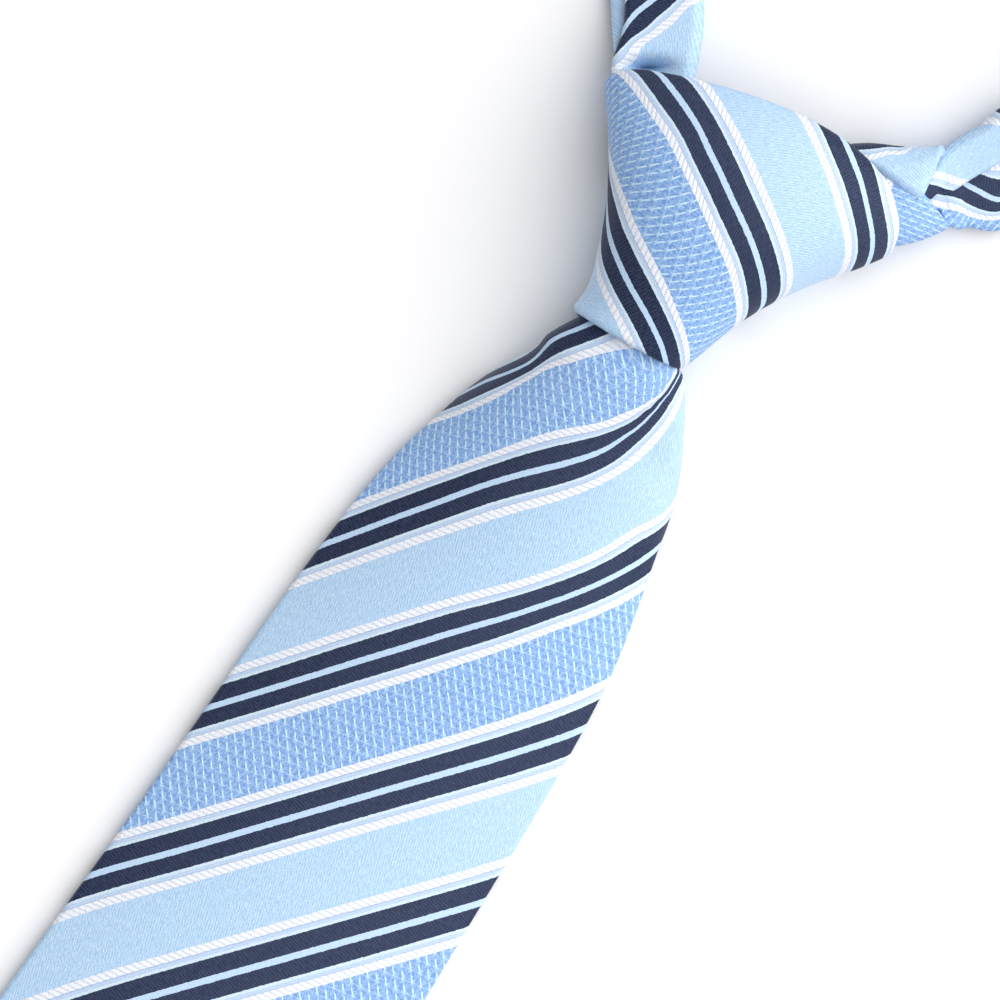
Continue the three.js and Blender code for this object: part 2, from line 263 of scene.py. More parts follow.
# The band's rows: from which step, up to which, and how far apart.
BAND_ROWS = ((0, 4, 0.025), (4, 15, 0.05), (15, BAND_STEPS + 0.01, 0.02))
BAND_GAP = 0.5
LEAF_COLUMNS = 19
FOLD_COLUMNS = 13
# How far the stripes on the leaves' hidden faces lie from those in front.
BAND_BACK_SHIFT = (0, 4.0)
# The left arm dips where the knot's last turn presses on it.
VALLEY_PLACE = (-24.3, 19.2)
VALLEY_SIZE = (3.4, 1.6)
VALLEY_DEPTH = 8.4

# Where lines of the weave run, seen from above: a line's place across the stripes, then points on
# it that were read from the photograph. On the blade, from the knot's mouth downwards.
BLADE_STRIPES = {
    HALF_REPEAT + THIN_LINE: [
        (-7.6, -22.7), (-9.3, -25.1), (-11, -27.4), (-12.3, -29.3), (-13, -31.1), (-13.2, -33.2),
        (-13.8, -35.2), (-15, -37.3), (-16.9, -40), (-18.6, -42.4), (-20.1, -44.8)],
    HALF_REPEAT + 8.6: [(-11.8, -26)],
    HALF_REPEAT + 0.7: [
        (-2.1, -23.4), (-4.8, -26.8), (-8.4, -31.1), (-11.6, -35.4), (-13.4, -39), (-15.1, -42.3),
        (-16.9, -45.3), (-19.8, -49.6), (-23.3, -53.9)],
    GROUP: [
        (8.6, -24.1), (8.5, -25.8), (8.4, -27.6), (7.4, -29.4), (6.5, -31.2), (5.4, -32.8),
        (4.3, -34.3), (3.3, -36)],
    9.2: [
        (8.9, -22.7), (9, -24.1), (9.1, -25.5), (9.1, -26.7), (8.8, -28.3), (8.7, -29.4),
        (8.3, -30.7), (7.5, -32.8), (6.7, -34.7), (5.6, -36.4), (4.5, -37.9)],
    THIN_LINE: [
        (9.1, -22.8), (9.3, -24), (9.4, -25.4), (9.4, -26.6), (9.2, -28), (9, -29.3), (8.9, -31),
        (8.7, -32.4), (8.3, -34), (7.5, -36.1), (6.7, -38.1), (5.9, -40),
        (0.2, -47.4), (-5, -52.8), (-9.6, -58.1), (-14, -64.1), (-18.6, -70), (-23, -76.1),
        (-27, -81.2)],
    2.62: [
        (10.1, -23.2), (10.4, -24.2), (10.6, -25.9), (10.8, -27.5), (10.8, -29.2), (10.7, -31.3),
        (10.3, -33.8), (9.7, -36.3), (9, -38.8)],
    -6.0: [(18.4, -37.9)],
    HALF_REPEAT + 11.1 - REPEAT: [
        (21.7, -44.3), (19.7, -47), (17.9, -49.7), (14.5, -56.9), (10.2, -63), (5.7, -68.7)],
    HALF_REPEAT + THIN_LINE - REPEAT: [
        (23.1, -50.7), (21.2, -54.3), (17.3, -61.1), (13, -67.4), (8.3, -73.2), (4.9, -77),
        (-0.1, -82.4), (-5.3, -88.8), (-10.5, -94.7), (-15.4, -100.6), (-22.3, -108.8)],
    HALF_REPEAT + 0.7 - REPEAT: [
        (24.4, -56.8), (22.8, -60.1), (19.8, -65.1), (15.1, -70.7), (10.9, -76.5)],
    THIN_LINE - REPEAT: [
        (28.3, -84.9), (23.6, -90.6), (15, -100.6), (6.8, -109.8), (-0.2, -117.8),
        (-10.5, -129.6), (-20.6, -141.2), (-30, -151.5)],
    HALF_REPEAT + THIN_LINE - 2 * REPEAT: [
        (29.7, -119.7), (24.8, -125.1), (20, -130.6), (10.3, -141.4), (0.6, -152.2),
        (-9.1, -163.1)],
}
# The points of the two lowest lines, where the stripes are nearly straight.
LOWEST_POINTS = 14
# How far outside the outline a point may lie, as it was read.
READING_MISS = 0.4
# How freely the stripes pass their points: closely near the knot, and more loosely below these
# reaches, where they are nearly straight.
BLADE_EASE = (0.5, 60.5)
BLADE_EASE_REACH = (46, 85)
# Below this reach the stripes are straight.
BLADE_STRAIGHT = (185, 250)

# On the last turn of the knot, with the place along the stripe where each one starts.
KNOT_STRIPES = {
    THIN_LINE + REPEAT: (-1.8, [(13, 26), (18.1, 22.2), (22, 18.4), (25.5, 14.4), (26.6, 11.5)]),
    11.1 + REPEAT: (3.7, [(21, 26.1), (25, 21.6), (28.8, 15.8)]),
    0.7 + REPEAT: (-6.9, [(4.8, 25.7), (11.7, 21.1), (16.9, 17), (21.8, 12.3), (23.6, 8.5)]),
    HALF_REPEAT + THIN_LINE: (-29.8, [
        (-23, 19.5), (-15.5, 17.1), (-7.2, 12.7), (0.3, 7.9), (7.1, 3.6), (11.3, 0.2),
        (14.4, -3.6), (15.1, -5.6)]),
    HALF_REPEAT + 0.7: (-31.9, [
        (-26.5, 15.9), (-23.1, 14.8), (-19.8, 13.3), (-16.7, 12.1), (-13.4, 10.5), (-4.9, 5.3),
        (2.3, 0.7), (7.2, -2.6), (11.4, -6.8), (12.8, -9.3)]),
    THIN_LINE: (-7.0, [
        (-16.1, -6.5), (-11.6, -11.2), (-5.8, -14.9), (0.2, -18.1), (4.6, -20.9), (6.1, -22.3)]),
    11.1: (-4.8, [
        (-11.9, -5.3), (-8.2, -7.5), (-2.5, -10.9), (3.1, -14.6), (7.6, -18.2), (9.3, -20.4)]),
}
# The places along the stripes are followed more loosely than those across them.
ALONG_EASE = 20.0
ACROSS_EASE = 1.0

# On the arms of the neck band near the knot, as (leaf, place in the weave): points.
LEFT_ARM_STRIPES = {
    ("upper", THIN_LINE): [
        (-31, 21.4), (-31.1, 23), (-31, 24.6), (-30.7, 26.3), (-30.3, 27.8), (-29.7, 29.5)],
    ("upper", 2.62): [
        (-29.7, 19.3), (-29.2, 21.5), (-28.4, 23.8), (-27.8, 26.1), (-27.1, 27.9), (-26.5, 29.9),
        (-26.1, 31.8)],
    ("upper", 0.7): [
        (-28.9, 16.3), (-28.4, 18), (-28, 19.9), (-27.5, 21.6), (-26.8, 23.3), (-26.1, 24.9),
        (-25.5, 26.5), (-25, 28.2), (-24.5, 31.1), (-24.2, 32.7)],
    ("lower", -5): [(-29.5, 18), (-33, 23), (-36, 26)],
}
RIGHT_ARM_STRIPES = {
    ("upper", 0.7): [(29.1, 30.8), (30.7, 31.2), (32.2, 31.6)],
    ("upper", HALF_REPEAT + 11.1 - REPEAT): [(30.8, 43.1), (31.9, 43.7), (33, 44.3)],
    ("upper", HALF_REPEAT + 8.7 - REPEAT): [(31.8, 45.7)],
    ("lower", 0.7): [(36, 36.8), (38, 38)],
    ("lower", THIN_LINE): [(33, 32), (36.5, 32.4), (40.4, 32.8)],
    ("lower", 11.1): [(29.2, 25.8), (34.5, 27.5), (41.7, 30.8)],
}
# How far from its ends the band's stripes follow their points, where they let go of them, and
# from where to where one end's stripes are brought to meet the other's.
ARM_REACH = 60
ARM_LETS_GO = (22, 50)
ARM_MEETS = 70
ARM_EASE = 0.5

# On the upper flap of the turn that shows round the right arm.
FLAP_STRIPES = {
    HALF_REPEAT + 9.2: [(14.1, 26.6), (17.7, 29.3), (21.3, 31.9)],
    HALF_REPEAT + GROUP: [(17.2, 26.3), (19.7, 29.2), (22.3, 32.1)],
    HALF_REPEAT + 16.6: [(23, 25.3), (27.5, 30.6)],
    HALF_REPEAT + 20.2: [(28.4, 25.5)],
}
FLAP_EASE = 0.3
# Which way the threads of the upper flap run. The lower one has its own way, its place in the
# weave at one point, and its net drawn out along the stripes.
UPPER_WAY = (0.66, 0.75)
LOWER_WAY = (0.317, -0.948)
LOWER_PLACE = 18.8
LOWER_POINT = (32, 20)
LOWER_STRETCH = 1.5


def thin_plate(sites, values, ease=3.0):
    """A smooth sheet over scattered sites, eased by a little, as a function of places."""
    sites = np.asarray(sites, float)

    def bend(places):
        square = ((places[:, None] - sites[None]) ** 2).sum(-1) + 1e-9
        return 0.5 * square * np.log(square)

    def slant(places):
        return np.column_stack([np.ones(len(places)), places])

    count = len(sites)
    system = np.zeros((count + 3, count + 3))
    system[:count, :count] = bend(sites) + np.diag(np.broadcast_to(ease, count))
    system[:count, count:] = slant(sites)
    system[count:, :count] = slant(sites).T
    weights = np.linalg.solve(system, np.append(values, np.zeros(3)))

    def at(places):
        flat = np.asarray(places, float).reshape(-1, 2)
        found = bend(flat) @ weights[:count] + slant(flat) @ weights[count:]
        return found.reshape(np.shape(places)[:-1])

    return at


def ease_in(places, start, end):
    """From 0 at the start to 1 at the end, smoothly."""
    t = np.clip((places - start) / (end - start), 0, 1)
    return t * t * (3 - 2 * t)


def lengths_along(points, axis):
    """How far each point lies along the rows (axis 0) or the columns (axis 1) of a grid."""
    steps = np.linalg.norm(np.diff(points, axis=axis), axis=-1)
    start = np.zeros_like(np.take(steps, [0], axis=axis))
    return np.concatenate([start, np.cumsum(steps, axis=axis)], axis=axis)


def weave(length, across):
    """The place in the weave of a point, from its place along the tie and to the left of it."""
    return np.stack([
        np.cos(STRIPE_TURN) * length - np.sin(STRIPE_TURN) * across,
        np.sin(STRIPE_TURN) * length + np.cos(STRIPE_TURN) * across,
    ], axis=-1)


def soft_edge(distance, half):
    """Half the wall's thickness at a distance from a folded edge, which is round."""
    near = np.clip(distance / half, 0, 1)
    return half * np.sqrt(np.clip(1 - (1 - near) ** 2, 0.02, 1))


def cloth_faces(middle, half, around=False):
    """The outer and the inner face of a cloth wall, from the points in its middle."""
    if around:
        across = np.roll(middle, -1, axis=1) - np.roll(middle, 1, axis=1)
    else:
        across = np.gradient(middle, axis=1)
    normal = np.cross(across, np.gradient(middle, axis=0))
    normal /= np.linalg.norm(normal, axis=-1, keepdims=True)
    offset = normal * half[..., None]
    return middle + offset, middle - offset


def cloth_object(name, outer, inner, outer_map, inner_map, around=False):
    """A closed piece of cloth from the grids of its two faces, with its cloth map."""
    rows, columns = outer.shape[:2]
    vertices = np.concatenate([outer.reshape(-1, 3), inner.reshape(-1, 3)])
    vertices[:, 2] = np.maximum(vertices[:, 2], 0)
    top = np.arange(rows * columns).reshape(rows, columns)
    if around:
        top = np.hstack([top, top[:, :1]])
    under = top + rows * columns
    corners = [np.s_[:-1, :-1], np.s_[:-1, 1:], np.s_[1:, 1:], np.s_[1:, :-1]]

    def quads(sources, places):
        return np.stack([s[p].reshape((-1,) + s.shape[2:]) for s, p in zip(sources, places)], 1)

    def rim(place_a, place_b):
        """Quads from the outer to the inner face between two runs of points on the border."""
        faces = np.stack([top[place_b], top[place_a], under[place_a], under[place_b]], 1)
        maps = np.stack([outer_map[place_b], outer_map[place_a]] * 2, 1)[:, [0, 1, 3, 2]]
        return faces, maps

    parts = [
        (quads([top] * 4, corners), quads([outer_map] * 4, corners)),
        (quads([under] * 4, corners[::-1]), quads([inner_map] * 4, corners[::-1])),
        rim(np.s_[0, :-1], np.s_[0, 1:]),
        rim(np.s_[-1, 1:], np.s_[-1, :-1]),
    ]
    if not around:
        parts += [rim(np.s_[1:, 0], np.s_[:-1, 0]), rim(np.s_[:-1, -1], np.s_[1:, -1])]
    faces = np.concatenate([part[0] for part in parts])
    maps = np.concatenate([part[1] for part in parts])

    mesh = bpy.data.meshes.new(name)
    mesh.from_pydata((vertices * MM).tolist(), [], faces.tolist())
    layer = mesh.uv_layers.new(name="cloth")
    layer.data.foreach_set("uv", maps.reshape(-1).astype(np.float32))
    mesh.polygons.foreach_set("use_smooth", np.ones(len(faces), bool))
    mesh.validate()
    piece = bpy.data.objects.new(name, mesh)
    bpy.context.scene.collection.objects.link(piece)
    return piece


def half_thickness(scene):
    """Half the thickness of the cloth, in millimetres."""
    return scene.necktie_weave.thickness / MM / 2


def finish_piece(piece, node):
    piece.data.materials.append(striped_silk(bpy.context.scene))
    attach(piece, "root")
    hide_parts(node)


def linear(hex_colour):
    """A colour as Blender's nodes take it, from its sRGB hex value."""
    value = hex_colour.lstrip("#")
    channels = [int(value[i:i + 2], 16) / 255 for i in (0, 2, 4)]
    return [c / 12.92 if c <= 0.04045 else ((c + 0.055) / 1.055) ** 2.4 for c in channels]


def add_node(tree, kind, inputs=None, **settings):
    """Adds a node with its settings, and gives its inputs values or links."""
    made = tree.nodes.new(kind)
    for name, value in settings.items():
        setattr(made, name, value)
    for key, value in (inputs or {}).items():
        if isinstance(value, bpy.types.NodeSocket):
            tree.links.new(value, made.inputs[key])
        else:
            made.inputs[key].default_value = value
    return made


def fill_ramp(ramp, stops):
    """Gives a colour ramp steps at the places, as shares of its length."""
    ramp.interpolation = "CONSTANT"
    while len(ramp.elements) < len(stops):
        ramp.elements.new(1)
    for element, (place, colour) in zip(ramp.elements, stops):
        element.position = place
        element.color = (*colour, 1)


# The lines of one group by where each starts, in millimetres, and what it is woven as.
GROUP_LINES = [
    (0.00, "cord"),
    (1.38, "shadow_line"),
    (1.50, "margin"),
    (2.14, "edge_line"),
    (2.62, "navy"),
    (5.33, "thin_line"),
    (6.41, "navy"),
    (9.20, "edge_line"),
    (9.66, "margin"),
    (10.30, "shadow_line"),
    (10.42, "cord"),
    (GROUP, "ground"),
]
RAMP_LENGTH = 12.0


def striped_silk(scene):
    """Jacquard silk: a satin and a textured ground between groups of navy stripes and cords.

    The long floating threads of the satin and the navy twill catch the light as a soft gloss, the
    textured ground shows a net of raised threads, and the twisted white cords stand a little proud.
    """
    name = "woven_jacquard_silk"
    if name in bpy.data.materials:
        return bpy.data.materials[name]
    sizes, colours = scene.necktie_weave, scene.necktie_colours
    material = bpy.data.materials.new(name)
    material.use_nodes = True
    tree = material.node_tree
    tree.nodes.clear()

    cloth = add_node(tree, "ShaderNodeUVMap", uv_map="cloth").outputs["UV"]
    # The threads are never quite straight, so the stripes' edges waver by a thread or two.
    waver = add_node(tree, "ShaderNodeTexNoise", {"Vector": cloth, "Scale": 1.4, "Detail": 2.0},
                     noise_dimensions="2D").outputs["Color"]
    moved = add_node(tree, "ShaderNodeVectorMath", {0: waver, 1: (-0.5, -0.5, -0.5)},
                     operation="ADD").outputs[0]
    cloth = add_node(tree, "ShaderNodeVectorMath",
                     {0: moved, 1: (sizes.waver / MM,) * 3, 2: cloth},
                     operation="MULTIPLY_ADD").outputs[0]
    place = add_node(tree, "ShaderNodeSeparateXYZ", {0: cloth})
    along, across = place.outputs["X"], place.outputs["Y"]

    # Where the point lies in the repeat, in which half of it and in the group of lines.
    repeat = add_node(tree, "ShaderNodeMath", {0: across, 1: REPEAT},
                      operation="FLOORED_MODULO").outputs[0]
    second = add_node(tree, "ShaderNodeMath", {0: repeat, 1: HALF_REPEAT},
                      operation="GREATER_THAN").outputs[0]
    in_half = add_node(tree, "ShaderNodeMath", {0: second, 1: -HALF_REPEAT, 2: repeat},
                       operation="MULTIPLY_ADD").outputs[0]
    share = add_node(tree, "ShaderNodeMath", {0: in_half, 1: RAMP_LENGTH},
                     operation="DIVIDE").outputs[0]
    line_colours = {
        "cord": colours.cord, "margin": colours.margin, "edge_line": colours.edge_line,
        "navy": colours.navy, "thin_line": colours.thin_line, "shadow_line": colours.shadow_line,
        "ground": colours.satin,
    }
    lines = add_node(tree, "ShaderNodeValToRGB", {0: share})
    fill_ramp(lines.color_ramp, [
        (start / RAMP_LENGTH, line_colours[kind]) for start, kind in GROUP_LINES])
    kinds = {"cord": (1, 0, 0), "navy": (0, 1, 0), "ground": (0, 0, 1)}
    zones = add_node(tree, "ShaderNodeValToRGB", {0: share})
    fill_ramp(zones.color_ramp, [
        (start / RAMP_LENGTH, kinds.get(kind, (0, 0, 0))) for start, kind in GROUP_LINES])
    zone = add_node(tree, "ShaderNodeSeparateColor", {0: zones.outputs["Color"]})
    is_cord, is_navy, is_ground = zone.outputs[0], zone.outputs[1], zone.outputs[2]
    is_satin = add_node(tree, "ShaderNodeMath", {0: is_ground, 1: second},
                        operation="MULTIPLY").outputs[0]
    is_net = add_node(tree, "ShaderNodeMath", {0: is_ground, 1: is_satin},
                      operation="SUBTRACT").outputs[0]

    # Fine threads: long streaks that lie at a slant to the stripe, in the satin and in the navy.
    streaks = {}
    for kind, lean, pitch in (("satin", SATIN_LEAN, sizes.twill_pitch / MM),
                              ("navy", NAVY_LEAN, 1.15 * sizes.twill_pitch / MM)):
        turned = add_node(tree, "ShaderNodeVectorRotate", {
            "Vector": cloth, "Angle": -math.radians(lean)}, rotation_type="Z_AXIS").outputs[0]
        lines_of_twill = add_node(tree, "ShaderNodeTexWave", {
            "Vector": turned, "Scale": math.pi / 10 / pitch, "Distortion": 1.2, "Detail": 1.0,
            "Detail Scale": 2.5}, bands_direction="Y").outputs["Fac"]
        stretched = add_node(tree, "ShaderNodeVectorMath", {
            0: turned, 1: (0.9, 4.5, 1)}, operation="MULTIPLY").outputs[0]
        uneven = add_node(tree, "ShaderNodeTexNoise", {
            "Vector": stretched, "Scale": 1.0, "Detail": 1.0}, noise_dimensions="2D").outputs[0]
        streak = add_node(tree, "ShaderNodeMath", {0: lines_of_twill, 1: 0.36, 2: uneven},
                          operation="MULTIPLY_ADD").outputs[0]
        streaks[kind] = add_node(tree, "ShaderNodeMapRange", {
            "Value": streak, "From Min": 0.39, "From Max": 0.97}).outputs[0]

    # The net: threads along three directions of a slanted grid, brightest where they meet.
    (ax, ay), (bx, by) = MESH_ROW, MESH_COLUMN
    cell = ax * by - bx * ay
    first = add_node(tree, "ShaderNodeVectorMath", {
        0: cloth, 1: (by / cell, -bx / cell, 0)}, operation="DOT_PRODUCT").outputs["Value"]
    other = add_node(tree, "ShaderNodeVectorMath", {
        0: cloth, 1: (-ay / cell, ax / cell, 0)}, operation="DOT_PRODUCT").outputs["Value"]
    slanted = add_node(tree, "ShaderNodeMath", {0: first, 1: other},
                       operation="SUBTRACT").outputs[0]
    away = {}
    for key, source in (("first", first), ("other", other), ("slanted", slanted)):
        away[key] = add_node(tree, "ShaderNodeMath", {0: source, 1: 0.5},
                             operation="PINGPONG").outputs[0]
    # The threads along the rows come to the face as short floats that start at a node, and the
    # other two sorts sink away from the nodes.
    float_place = add_node(tree, "ShaderNodeMath", {0: first}, operation="FRACT").outputs[0]
    from_middle = add_node(tree, "ShaderNodeMath", {0: float_place, 1: 0.34},
                           operation="SUBTRACT").outputs[0]
    from_middle = add_node(tree, "ShaderNodeMath", {0: from_middle},
                           operation="ABSOLUTE").outputs[0]
    threads = []
    for kind, width, far, reach, ends in (
            ("first", 0.085, away["other"], (0.08, 0.42), (0.72, 0.17)),
            ("other", 0.075, away["first"], (0.08, 0.42), (0.65, 0.15)),
            ("slanted", 0.14, from_middle, (0.20, 0.36), (1.0, 0.28))):
        strength = add_node(tree, "ShaderNodeMapRange", {
            "Value": far, "From Min": reach[0], "From Max": reach[1], "To Min": ends[0],
            "To Max": ends[1]}, interpolation_type="SMOOTHSTEP").outputs[0]
        thread = add_node(tree, "ShaderNodeMapRange", {
            "Value": away[kind], "From Min": width * 0.3, "From Max": width,
            "To Min": strength, "To Max": 0.0}, interpolation_type="SMOOTHSTEP").outputs[0]
        threads.append(thread)
    net = threads[0]
    for thread in threads[1:]:
        net = add_node(tree, "ShaderNodeMath", {0: net, 1: thread},
                       operation="MAXIMUM").outputs[0]
    # Between its threads the ground is mottled.
    mottle = add_node(tree, "ShaderNodeTexNoise", {
        "Vector": cloth, "Scale": 1.6, "Detail": 2.0, "Roughness": 0.7},
        noise_dimensions="2D").outputs[0]
    tone = add_node(tree, "ShaderNodeMapRange", {
        "Value": mottle, "From Min": 0.34, "From Max": 0.66}).outputs[0]

    # The cords are twisted from strands that cross them at a slant.
    lean = math.radians(CORD_LEAN)
    twist = add_node(tree, "ShaderNodeVectorMath", {
        0: cloth, 1: (1 / (sizes.cord_pitch / MM),
                      -1 / math.tan(lean) / (sizes.cord_pitch / MM), 0)},
        operation="DOT_PRODUCT").outputs["Value"]
    strand = add_node(tree, "ShaderNodeMath", {0: twist, 1: 0.5},
                      operation="PINGPONG").outputs[0]
    groove = add_node(tree, "ShaderNodeMapRange", {
        "Value": strand, "From Min": 0.0, "From Max": 0.3, "To Min": 1.0, "To Max": 0.0},
        interpolation_type="SMOOTHSTEP").outputs[0]

    # Colours, one zone after another.
    satin_colour = add_node(tree, "ShaderNodeMix", {
        0: streaks["satin"], 6: (*colours.satin_shade, 1), 7: (*colours.satin, 1)},
        data_type="RGBA").outputs[2]
    net_ground = add_node(tree, "ShaderNodeMix", {
        0: tone, 6: (*colours.net_shade, 1), 7: (*colours.net_ground, 1)},
        data_type="RGBA").outputs[2]
    net_colour = add_node(tree, "ShaderNodeMix", {
        0: net, 6: net_ground, 7: (*colours.net_thread, 1)}, data_type="RGBA").outputs[2]
    navy_colour = add_node(tree, "ShaderNodeMix", {
        0: streaks["navy"], 6: (*colours.navy, 1), 7: (*colours.navy_light, 1)},
        data_type="RGBA").outputs[2]
    # The grooves between a cord's strands are painted darker as painted shade, on top of their
    # bump.
    cord_colour = add_node(tree, "ShaderNodeMix", {
        0: groove, 6: (*colours.cord, 1), 7: (*colours.cord_groove_shade, 1)},
        data_type="RGBA").outputs[2]
    colour = lines.outputs["Color"]
    for mask, shade in ((is_navy, navy_colour), (is_cord, cord_colour),
                        (is_satin, satin_colour), (is_net, net_colour)):
        colour = add_node(tree, "ShaderNodeMix", {0: mask, 6: colour, 7: shade},
                          data_type="RGBA").outputs[2]

    # The grain of the threads, drawn as coarse as the photograph's, as single threads are finer.
    grain = add_node(tree, "ShaderNodeTexNoise", {
        "Vector": cloth, "Scale": 3.0, "Detail": 2.0, "Roughness": 0.7},
        noise_dimensions="2D").outputs[0]
    grain = add_node(tree, "ShaderNodeMapRange", {
        "Value": grain, "From Min": 0.3, "From Max": 0.7, "To Min": 0.88,
        "To Max": 1.10}).outputs[0]
    colour = add_node(tree, "ShaderNodeVectorMath", {0: colour, "Scale": grain},
                      operation="SCALE").outputs[0]

    # Heights, in shares of the raise: cords stand proud, then the net's threads, then the twill.
    proud = add_node(tree, "ShaderNodeMath", {0: groove, 1: -0.8, 2: 1.0},
                     operation="MULTIPLY_ADD").outputs[0]
    height = add_node(tree, "ShaderNodeMath", {0: is_cord, 1: proud},
                      operation="MULTIPLY").outputs[0]
    for mask, level, gain in ((is_net, net, 0.8), (is_satin, streaks["satin"], 0.25),
                              (is_navy, streaks["navy"], 0.3)):
        raised = add_node(tree, "ShaderNodeMath", {0: level, 1: gain},
                          operation="MULTIPLY").outputs[0]
        height = add_node(tree, "ShaderNodeMath", {0: mask, 1: raised, 2: height},
                          operation="MULTIPLY_ADD").outputs[0]
    bump = add_node(tree, "ShaderNodeBump", {
        "Strength": 0.5, "Distance": sizes.raise_height, "Height": height}).outputs[0]

    rough = add_node(tree, "ShaderNodeMapRange", {
        "Value": is_satin, "To Min": 0.56, "To Max": 0.37}).outputs[0]
    # The gloss spreads across the threads, which run another way in each weave.
    turn = 0.25
    for mask, lean in ((is_cord, CORD_LEAN), (is_navy, NAVY_LEAN), (is_satin, SATIN_LEAN),
                       (is_net, NET_LEAN)):
        turn = add_node(tree, "ShaderNodeMath", {0: mask, 1: lean / 360, 2: turn},
                        operation="MULTIPLY_ADD").outputs[0]
    thread_frame = add_node(tree, "ShaderNodeTangent", direction_type="UV_MAP",
                            uv_map="cloth").outputs[0]
    shader = add_node(tree, "ShaderNodeBsdfPrincipled", {
        "Base Color": colour, "Roughness": rough, "Normal": bump, "IOR": 1.5,
        "Specular IOR Level": 0.6, "Specular Tint": (0.56, 0.66, 0.95, 1),
        "Anisotropic": 0.8, "Anisotropic Rotation": turn, "Tangent": thread_frame,
        "Sheen Weight": 0.05, "Sheen Roughness": 0.35})
    add_node(tree, "ShaderNodeOutputMaterial", {"Surface": shader.outputs[0]})
    return material


def blade_grid(reaches, left, right, shape, shoulder, tip, columns=84):
    """Points in the middle of a blade's wall, row by row towards the knot."""
    side_places = np.sin(np.linspace(0.002, np.pi / 2, columns // 2))
    across = np.concatenate([-side_places[::-1], side_places])
    share = np.clip((tip - reaches) / (tip - shoulder), 0, 1)[:, None]
    side = np.where(across < 0, left, right) * share
    x, z = shape(np.abs(across)[None, :])
    return np.stack([side * x, np.broadcast_to(-reaches[:, None], side.shape), z], -1)


def edge_distances(points):
    """How far each point of a grid lies from the nearest edge of it, along the cloth."""
    across = lengths_along(points, 1)
    along = lengths_along(points, 0)
    return np.minimum.reduce([
        across, across[:, -1:] - across, along, along[-1:] - along])


def point_rows(tip):
    """The last rows of a blade, close together in its point."""
    return np.linspace(tip - POINT_LENGTH, tip - POINT_BLUNT, POINT_ROWS)


def blade_faces(middle, across, half):
    """A blade's outer face, and its inner one with the groove of the seam."""
    outer, inner = cloth_faces(middle, soft_edge(edge_distances(middle), half))
    inner[..., 2] += SEAM_DEPTH * np.exp(-(across / SEAM_WIDTH) ** 2)
    return outer, inner


def blade_maps(points, shift=0.0):
    """The weave on a blade's front, and on its back where the cloth has turned round the edges."""
    middle = points.shape[1] // 2
    across = lengths_along(points, 1)
    across = (across[:, middle - 1:middle] + across[:, middle:middle + 1]) / 2 - across
    edges = np.where(across > 0, across[:, :1], across[:, -1:])
    front = weave(points[..., 1], across)
    back = weave(points[..., 1], 2 * edges - across)
    for cloth in (front, back):
        cloth[..., 1] += shift
    return across, front, back


class NecktieWeave(bpy.types.PropertyGroup):
    """Sizes of the cloth and its threads."""

    thickness: bpy.props.FloatProperty(
        name="Thickness", description="Two layers of silk over an interlining",
        default=0.0020, min=0.001, max=0.004, unit="LENGTH", precision=4)
    cord_pitch: bpy.props.FloatProperty(
        name="Cord pitch", description="From strand to strand along a cord",
        default=0.0013, min=0.0005, max=0.003, unit="LENGTH", precision=5)
    twill_pitch: bpy.props.FloatProperty(
        name="Twill pitch", description="From thread to thread in the satin and the navy",
        default=0.00045, min=0.0002, max=0.002, unit="LENGTH", precision=5)
    waver: bpy.props.FloatProperty(
        name="Waver", description="How far the threads stray from straight lines",
        default=0.00022, min=0, max=0.001, unit="LENGTH", precision=5)
    raise_height: bpy.props.FloatProperty(
        name="Raise", description="How far the cords stand proud",
        default=0.00016, min=0, max=0.001, unit="LENGTH", precision=5)


def chosen_colour(name, description, hex_colour):
    """A colour that a user can change."""
    return bpy.props.FloatVectorProperty(
        name=name, description=description, subtype="COLOR", default=linear(hex_colour))


class NecktieColours(bpy.types.PropertyGroup):
    """Colours of the dyed silk."""

    satin: chosen_colour("Satin", "Pale blue satin", "#c6dff6")
    satin_shade: chosen_colour("Satin shade", "Satin between its threads", "#a2c6e8")
    net_ground: chosen_colour("Net ground", "Textured ground", "#9cc1ee")
    net_shade: chosen_colour("Net shade", "Darker half of the textured ground", "#7298d6")
    net_thread: chosen_colour("Net thread", "Raised threads of the textured ground", "#d3f0ff")
    navy: chosen_colour("Navy", "Navy stripes", "#111b37")
    navy_light: chosen_colour("Navy light", "Navy threads that catch the light", "#343d57")
    thin_line: chosen_colour("Thin line", "Line between two navy stripes", "#c1daf4")
    cord: chosen_colour("Cord", "Twisted white cord", "#f2f4fa")
    # Painted shade in the grooves between a cord's white strands.
    cord_groove_shade: chosen_colour("Cord groove", "Between the strands of a cord", "#d8e0f0")
    margin: chosen_colour("Margin", "Plain line beside a cord", "#c0d3ed")
    edge_line: chosen_colour("Edge line", "Bright line beside the navy", "#d3e6f4")
    shadow_line: chosen_colour("Shadow line", "Thin dark line beside a cord", "#9eb7da")


class NecktieStudio(bpy.types.PropertyGroup):
    """Light and floor."""

    key: bpy.props.FloatProperty(
        name="Key light", description="Strength of the soft light from above", default=3.3,
        min=0, max=10)
    fill: bpy.props.FloatProperty(
        name="Fill light", description="Brightness of the room", default=0.40, min=0, max=4)
    floor: chosen_colour("Floor", "Pale studio floor", "#f6f6f8")


